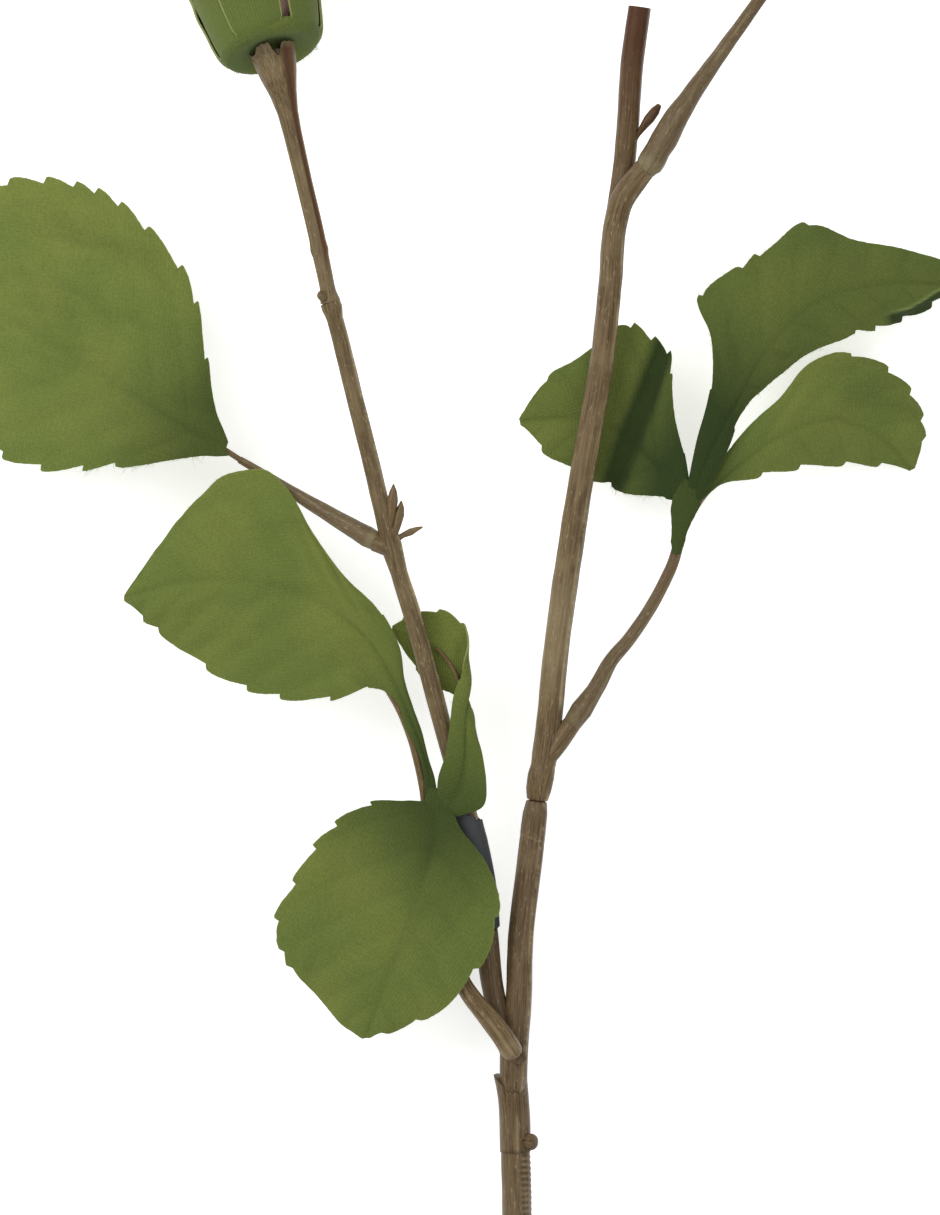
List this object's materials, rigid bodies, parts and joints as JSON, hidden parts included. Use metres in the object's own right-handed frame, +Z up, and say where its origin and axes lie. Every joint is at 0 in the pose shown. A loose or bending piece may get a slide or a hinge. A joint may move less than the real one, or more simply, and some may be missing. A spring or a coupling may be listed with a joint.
{
  "type": "dahlia flower",
  "caption": "Artificial dahlia spray lying down: a forked moulded stem, serrated fabric leaves on stalks, and a layered bloom in a leafy cup.",
  "frame": {"origin": "centre of the bounding box in plan, on the surface that the spray lies on", "axes": "+Y along the main stem from its cut end towards the bloom, +Z up from the surface, +X to the right seen from above"},
  "size_m": [0.2395, 0.5574, 0.0506],
  "materials": {
    "brown_plastic": "semi-matt moulded",
    "stalk_plastic": "semi-matt moulded",
    "slate_sleeve": "matt wrap",
    "leaf_fabric": "matt woven, airbrushed",
    "sepal_fabric": "matt woven",
    "petal_fabric": "matt woven"
  },
  "bodies": {
    "root": {"stem_lower": "brown_plastic", "stem_fork": "brown_plastic", "stem_right": "brown_plastic", "stem_left": "brown_plastic", "stem_neck": "brown_plastic", "sleeve": "slate_sleeve", "stalk_a": "stalk_plastic", "stalk_c": "stalk_plastic", "stalk_f": "stalk_plastic", "stalk_g": "stalk_plastic", "leaf_a": "leaf_fabric", "leaf_c": "leaf_fabric", "leaf_f": "leaf_fabric", "leaf_g": "leaf_fabric", "calyx": "sepal_fabric", "petals": "petal_fabric"}
  },
  "joints": []
}
